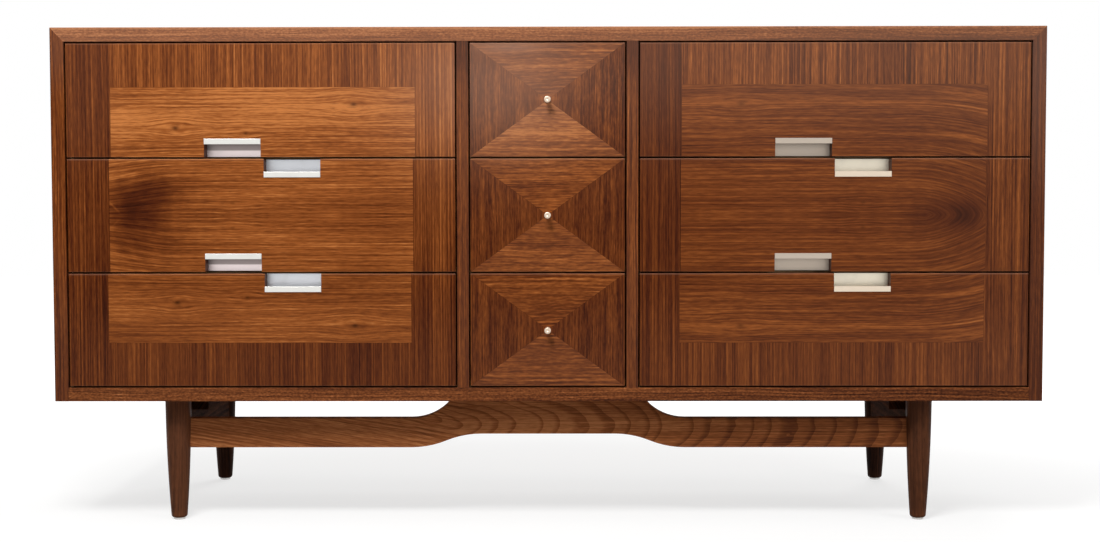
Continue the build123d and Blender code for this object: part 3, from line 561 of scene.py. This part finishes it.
def standing_edging():
    """Edging up the sides and the partitions: darkest at the right, with a painted shadow under the top
    edging and a painted sheen that grows higher up.
    """
    finish, place = start("standing_edging")
    x, _, z = axes(place)
    strip = (x + 1.0) // STRIP_ZONE
    bend = noise(point(z, z, strip, 0.0), (1.9, 1.0, 1.0), detail=2.0) * 0.020
    light, pores = grain(z, x + bend, strip + 9.0, lines=1.0, ticks=1.0)
    leftmost = smooth(0 - x, 0.5, 0.7)
    rightmost = smooth(x, 0.5, 0.7)
    outer = leftmost + rightmost
    high = smooth(z, 0.45, 0.72)
    # Painted shadow of the top edging on the upper ends of the inner strips
    painted_shadow_under_top = smooth(z, 0.655, 0.745) * (1 - outer)
    tone = 0.46 - painted_shadow_under_top * 0.35 - (x > 0) * (1 - high) * (1 - outer) * 0.035
    tone = tone - rightmost * (0.23 - smooth(z, 0.20, 0.35) * 0.10 + high * 0.03)
    tone = tone + leftmost * (smooth(z, 0.22, 0.45) * 0.18 - smooth(z, 0.64, 0.74) * 0.07 - 0.10)
    # Painted sheen: a pale painted reflection, stronger higher up and on the right strip
    left_painted_sheen = 0.06 - smooth(z, 0.30, 0.50) * 0.055 + smooth(z, 0.64, 0.74) * 0.11
    painted_sheen = pick(leftmost, 0.068 + high * 0.12 + rightmost * high * 0.08, left_painted_sheen)
    painted_sheen = painted_sheen * (smooth(noise(place, (6.0, 6.0, 3.0), detail=1.0), -0.2, 0.2) * 0.5 + 0.75)
    return wood_finish(finish, tone + light * (1.4 - outer * 0.3), pores, painted_sheen=painted_sheen)


def leg_walnut():
    """Turned legs, each from its own blank with the heart of the log to one side."""
    finish, place = start("leg_walnut")
    x, y, z = axes(place)
    rear = y > LEG_MIDDLE_Y
    blank = (x > 0) * 1.9 + rear * 4.3
    aside = abs(x) - LEG_X + 0.034
    behind = abs(y - LEG_MIDDLE_Y) + (LEG_Y - LEG_MIDDLE_Y) + 0.020
    lean = noise(point(z, z, blank, 0.0), (3.0, 1.0, 1.0), detail=1.0) * 0.014
    rings = distance(aside + lean, behind)
    light, pores = grain(z, rings, blank, lines=0.8, ticks=0.9)
    late = latewood(rings, 190.0, lean * 8.0)
    worn_toe = 1 - smooth(z, 0.004, 0.022)
    right = x > 0
    # Painted shade: the rear legs are painted darker for the shade under the case, the rear right one most,
    # and the right legs a little darker; the front legs carry a painted sheen
    tone = 0.36 - right * (rear * 0.06 + 0.05) - rear * 0.18
    tone = tone + light * 0.65 - (late - 0.3) * 0.06 + worn_toe * 0.08
    return wood_finish(finish, tone, pores, stops=SOLID_WALNUT, painted_sheen=(1 - rear) * (0.03 - right * 0.025))


def stretcher_walnut():
    """Stretchers, straight-grained at the left and running out of the face in arches further right.

    The saw cut the log at a slant, so the heart lies deeper under the face towards the right.
    """
    finish, place = start("stretcher_walnut")
    x, y, z = axes(place)
    middle_z = (STRETCHER[0].z + STRETCHER[1].z) / 2
    rear = y > LEG_MIDDLE_Y
    seed = rear * 5.3 + 2.0
    left_part = larger(-0.14 - x, 0.0)
    drift = noise(point(x, x, seed, 0.0), (4.5, 1.0, 1.0), detail=2.0)
    wander = noise(point(x, x, z, seed), (14.0, 40.0, 1.0), detail=2.0)
    heart_depth = larger(x + 0.21, 0.010) * 0.24 + drift * 0.022
    off_heart = z - middle_z + 0.004 - left_part * 0.16 - smooth(left_part, 0.0, 0.1) * 0.012
    rings = distance(off_heart + wander * 0.007, heart_depth)
    spacing = noise(point(x, rings, seed, 0.0), (60.0, 1.0, 1.0), detail=1.0)
    arches = smooth(x, -0.26, -0.14)
    late = smooth((rings * 125.0 + spacing * 3.0 + wander * 0.35) % 1.0, 0.60, 0.97)
    light, pores = grain(x, z + left_part * -0.16 + wander * 0.003, seed, shade=1.0, lines=0.85, ticks=1.0)
    # Painted light lifts the middle, which lies in the shade of the case; the tone falls towards the right,
    # and the front stretcher carries a painted sheen
    middle = bell(x / 0.17, 0.0)
    tone = 0.785 - smooth(x, -0.5, 0.5) * 0.165 + middle * 0.16
    tone = tone + light - (late - 0.2) * (arches * 0.17 + 0.05)
    return wood_finish(finish, tone, pores, stops=EDGING_WALNUT, painted_sheen=(1 - rear) * 0.015)


def pale_board(name, along, across, seed, tone=0.5, stops=PALE_WOOD):
    """Unlacquered secondary wood for the boards inside."""
    finish, place = start(name)
    axis = dict(zip("xyz", axes(place)))
    run = axis[along]
    third = axis[({"x", "y", "z"} - {along, across}).pop()]
    bend = noise(point(run, run, seed, third), (1.3, 1.0, 3.0), detail=2.0) * 0.05
    rings = distance(axis[across] + bend, third + 0.02)
    light, pores = grain(run, rings, seed, lines=0.6, ticks=0.6)
    late = latewood(rings, 70.0, bend * 6.0)
    tone = tone + light * 0.8 - (late - 0.3) * 0.10
    return wood_finish(finish, tone, pores * 0.5, stops=stops, shader=BARE, sheen=0.62)


def joined_board(finish, place, crosswise, seed, tone):
    """Boards that run front to back and boards that run across, darker where the end grain shows."""
    x, y, z = axes(place)
    run = pick(crosswise, y, x)
    deep = pick(crosswise, x, y)
    bend = noise(point(run, run, seed, 0.0), (1.3, 1.0, 1.0), detail=2.0) * 0.05
    rings = distance(z + bend, deep * 0.4 + 0.02)
    light, pores = grain(run, rings, seed + crosswise * 3.3, lines=0.6, ticks=0.6)
    face_x, face_y, _ = facing(place)
    cut_end = smooth(abs(pick(crosswise, face_y, face_x)), 0.6, 0.8)
    speckle = noise(place, (900.0, 900.0, 900.0), detail=1.0)
    tone = tone + light * (1 - cut_end) * 0.8 + (speckle * 0.5 - 0.30) * cut_end
    pores = pores * (1 - cut_end) * 0.5
    return wood_finish(finish, tone, pores, stops=PALE_WOOD, shader=BARE, sheen=0.62)


def drawer_box_wood():
    """Drawer boxes: dovetailed sides and crosswise ends."""
    finish, place = start("drawer_box_wood")
    x, y, z = axes(place)
    local = around(z, BOX_Z, ROW_PITCH)
    wide_x = (WIDE_BOX[0].x + WIDE_BOX[1].x) / 2
    wide_half = (WIDE_BOX[1].x - WIDE_BOX[0].x) / 2
    wide_side = abs(abs(x) - wide_x) > wide_half - BOX_T
    narrow_side = abs(x) > NARROW_BOX[1].x - BOX_T
    side = pick(abs(x) < HALF_CENTRE, wide_side, narrow_side)
    front_depth = y - WIDE_BOX[0].y
    back_depth = WIDE_BOX[1].y - y
    depth = smaller(front_depth, back_depth)
    at_end = depth < BOX_T
    front_tail = abs(around(local, 0.0, TAIL_PITCH))
    back_tail = abs(around(local, BACK_TAILS_UP + TAIL_PITCH / 2, TAIL_PITCH))
    tail = pick(front_depth < back_depth, back_tail, front_tail)
    in_tail = tail < TAIL_HALF_TIP - (TAIL_HALF_TIP - TAIL_HALF_ROOT) / BOX_T * depth
    crosswise = at_end * (1 - side * in_tail)
    return joined_board(finish, place, crosswise, seed=11.0, tone=0.60)


def support_wood():
    """Web frames: rails across the case, slides and guides from front to back."""
    finish, place = start("support_wood")
    y = axes(place)[1]
    rail = (y < SUPPORTS[0].y + FRONT_RAIL_DEPTH) + (y > SUPPORTS[1].y - REAR_RAIL_DEPTH)
    return joined_board(finish, place, rail, seed=5.0, tone=0.50)


def aluminium():
    """Satin channel pulls and turned knobs, warmer and darker on the right. A painted shadow darkens the left
    plates under the lips, the lips and plates have lit and shaded colours, and the knobs are painted darker
    underneath.
    """
    finish, place = start("satin_aluminium")
    x, y, z = axes(place)
    brushed = noise(point(x, x, y, z), (25.0, 3200.0, 3200.0), detail=2.0)
    cloud = noise(place, (30.0, 30.0, 30.0), detail=2.0)
    right = smooth(x, 0.05, 0.2)
    drop = around(z, STACK_Z, ROW_PITCH)
    plate = smooth(y, FACE_Y + 0.006, FACE_Y + 0.012)
    low_pull = drop < 0
    # Painted shadow of the lip on the left plates; the lips and the plates of upper and lower pulls get lit
    # and shaded colours, the plates in the recess darker
    painted_lip_shadow = low_pull * (1 - right) * smooth(drop, 0.0095 - HALF_ROW, 0.0120 - HALF_ROW)
    right_lip = tint(low_pull, (0.67, 0.56, 0.44), (0.46, 0.39, 0.32))
    lip_colour = tint(right, (0.69, 0.68, 0.64), right_lip)
    left_plate = tint(low_pull, (0.65, 0.66, 0.69), (0.82, 0.71, 0.70))
    left_plate = tint(painted_lip_shadow, left_plate, (0.30, 0.25, 0.24))
    right_plate = tint(low_pull, (0.75, 0.68, 0.55), (0.43, 0.36, 0.295))
    colour = tint(plate, lip_colour, tint(right, left_plate, right_plate))
    # Painted shade: the knobs are darker and warmer where they face down
    knob_colour = tint(smooth(facing(place)[2], -0.5, 0.6), (0.46, 0.35, 0.26), (0.86, 0.71, 0.56))
    colour = tint(abs(x) < KNOB_ZONE, colour, knob_colour)
    colour = tint(smooth(cloud, 0.0, 0.35) * 0.25, colour, (0.42, 0.40, 0.37))
    roughness = 0.40 + brushed * 0.12 + cloud * 0.12
    return coat(finish, colour, roughness, brushed, BRUSHED_RELIEF, METAL)


def steel():
    """Plated screws and glides with a few rust spots."""
    finish, place = start("plated_steel")
    cloud = noise(place, (90.0, 90.0, 90.0), detail=3.0)
    spots = smooth(noise(place, (420.0, 420.0, 420.0), detail=2.0), 0.12, 0.25)
    colour = tint(smooth(cloud, -0.2, 0.3), (0.52, 0.51, 0.49), (0.66, 0.65, 0.63))
    colour = tint(spots * 0.6, colour, (0.28, 0.19, 0.12))
    roughness = 0.38 + spots * 0.25 + cloud * 0.15
    return coat(finish, colour, roughness, cloud - spots * 0.5, PLATED_RELIEF, METAL)


COLUMNS = ("left", "centre", "right")
DRAWERS = [f"{row}_{column}_drawer" for row in ("upper", "middle", "lower") for column in COLUMNS]
WIDE_DRAWERS = [name for name in DRAWERS if "centre" not in name]
NARROW_DRAWERS = [name for name in DRAWERS if "centre" in name]
UNDER_CASE = {"stops": SOLID_WALNUT, "shader": OILED, "sheen": 0.75}

FINISHES = {
    drawer_front_veneer("wide_front_veneer", narrow=False): [f"{name}_front" for name in WIDE_DRAWERS],
    drawer_front_veneer("narrow_front_veneer", narrow=True): [f"{name}_front" for name in NARROW_DRAWERS],
    laid_veneer("top_veneer", "x", "y", heart_end=-0.95, tone=0.50, seed=3.0): ["top_panel"],
    laid_veneer("side_veneer", "z", "y", heart_end=0.0, tone=0.46, seed=8.0): [
        "left_side_panel",
        "right_side_panel",
    ],
    lying_edging(): ["edging_rails"],
    standing_edging(): ["edging_stiles"],
    leg_walnut(): ["front_left_leg", "front_right_leg", "rear_left_leg", "rear_right_leg"],
    stretcher_walnut(): ["front_stretcher", "rear_stretcher"],
    # Leg rails and cleats are toned dark, partly to stand in for the shade under the case
    solid_walnut("leg_rail_walnut", "y", "z", seed=6.0, tone=0.20, **UNDER_CASE): [
        "left_leg_rail",
        "right_leg_rail",
        "base_cleats",
    ],
    pale_board("partition_wood", "z", "y", seed=1.0): ["left_partition", "right_partition"],
    pale_board("bottom_wood", "x", "y", seed=2.0): ["bottom_panel"],
    support_wood(): [f"{column}_drawer_supports" for column in COLUMNS],
    drawer_box_wood(): [f"{name}_box" for name in DRAWERS],
    pale_board("drawer_plywood", "x", "y", seed=13.0, tone=0.62): [f"{name}_bottom" for name in DRAWERS],
    pale_board("backing_board", "x", "z", seed=15.0, stops=BACKING): ["back_panel", "dust_panels"],
    aluminium(): [f"{name}_hardware" for name in DRAWERS],
    steel(): ["floor_glides", "case_screws"],
}
for finish, names in FINISHES.items():
    for name in names:
        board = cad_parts[name].data
        board.materials.clear()
        board.materials.append(finish)


def seen(wire):
    """1 for the rays of the camera, of metal and of glass, and 0 for the rays that carry light."""
    kinds = ("Camera", "Glossy", "Transmission")
    rays = [wire.make("ShaderNodeLightPath", {}, {}, output=f"Is {kind} Ray") for kind in kinds]
    return larger(larger(rays[0], rays[1]), rays[2])


def pale_floor():
    """A pale studio floor that takes the shadow. What the camera and the metal see of it is near white."""
    reach = 7.0
    corners = [(-reach, -reach, 0), (reach, -reach, 0), (reach, reach, 0), (-reach, reach, 0)]
    floor_mesh = bpy.data.meshes.new("floor")
    floor_mesh.from_pydata(corners, [], [(0, 1, 2, 3)])
    floor = bpy.data.objects.new("floor", floor_mesh)
    bpy.context.scene.collection.objects.link(floor)
    finish, place = start("pale_floor")
    speckle = noise(place, (40.0, 40.0, 40.0), detail=3.0)
    colour = tint(speckle + 0.5, (0.34, 0.34, 0.34), (0.36, 0.36, 0.355))
    matt = colour.make("ShaderNodeBsdfDiffuse", {}, {"Color": colour})
    x, y, _ = axes(place)
    away = smooth(distance(x * 0.7, y), 0.5, 1.6)
    strength = seen(place) * (away * 0.30 + 0.70)
    glow = colour.make("ShaderNodeEmission", {}, {"Color": (1.0, 1.0, 1.0, 1.0), "Strength": strength})
    surface = colour.make("ShaderNodeAddShader", {}, {"Shader": matt, "Shader_001": glow})
    colour.make("ShaderNodeOutputMaterial", {}, {"Surface": surface})
    floor_mesh.materials.append(finish)


def studio_world():
    """Soft light from overhead. The background that the camera and the metal see is white."""
    world = bpy.data.worlds.new("studio")
    bpy.context.scene.world = world
    world.use_nodes = True
    world.node_tree.nodes.clear()
    coordinates = world.node_tree.nodes.new("ShaderNodeTexCoord")
    way = Wire(coordinates.outputs["Generated"])
    height = axes(way)[2]
    strength = pick(seen(way), smooth(height, 0.0, 0.9) * 0.42 + 0.06, 1.0)
    sky = way.make("ShaderNodeBackground", {}, {"Color": (1.0, 1.0, 1.0, 1.0), "Strength": strength})
    way.make("ShaderNodeOutputWorld", {}, {"Surface": sky})


def soft_light(name, place, target, width, height, power):
    lamp = bpy.data.lights.new(name, "AREA")
    lamp.shape = "RECTANGLE"
    lamp.size = width
    lamp.size_y = height
    lamp.energy = power
    light = bpy.data.objects.new(name, lamp)
    light.location = place
    light.rotation_euler = (Vector(target) - Vector(place)).to_track_quat("-Z", "Y").to_euler()
    bpy.context.scene.collection.objects.link(light)


def photo_camera():
    lens = bpy.data.cameras.new("photo_camera")
    lens.lens = 54.47
    lens.sensor_width = 36.0
    lens.sensor_fit = "HORIZONTAL"
    lens.clip_end = 50.0
    camera = bpy.data.objects.new("photo_camera", lens)
    camera.location = (0.0196, -2.7787, 0.5221)
    camera.rotation_euler = (math.radians(90 - 2.862), math.radians(0.07), math.radians(0.354))
    bpy.context.scene.collection.objects.link(camera)
    bpy.context.scene.camera = camera


pale_floor()
studio_world()
soft_light("key_light", (-0.6, -1.75, 2.35), (-0.1, -0.2, 0.5), width=0.9, height=0.7, power=54.0)
soft_light("fill_light", (3.0, -2.2, 1.6), (0.1, -0.2, 0.45), width=2.0, height=1.6, power=36.0)
soft_light("back_light", (0.8, 2.8, 2.3), (0.0, 0.2, 0.5), width=2.0, height=1.2, power=46.0)
photo_camera()

bpy.context.scene.view_settings.view_transform = "Standard"
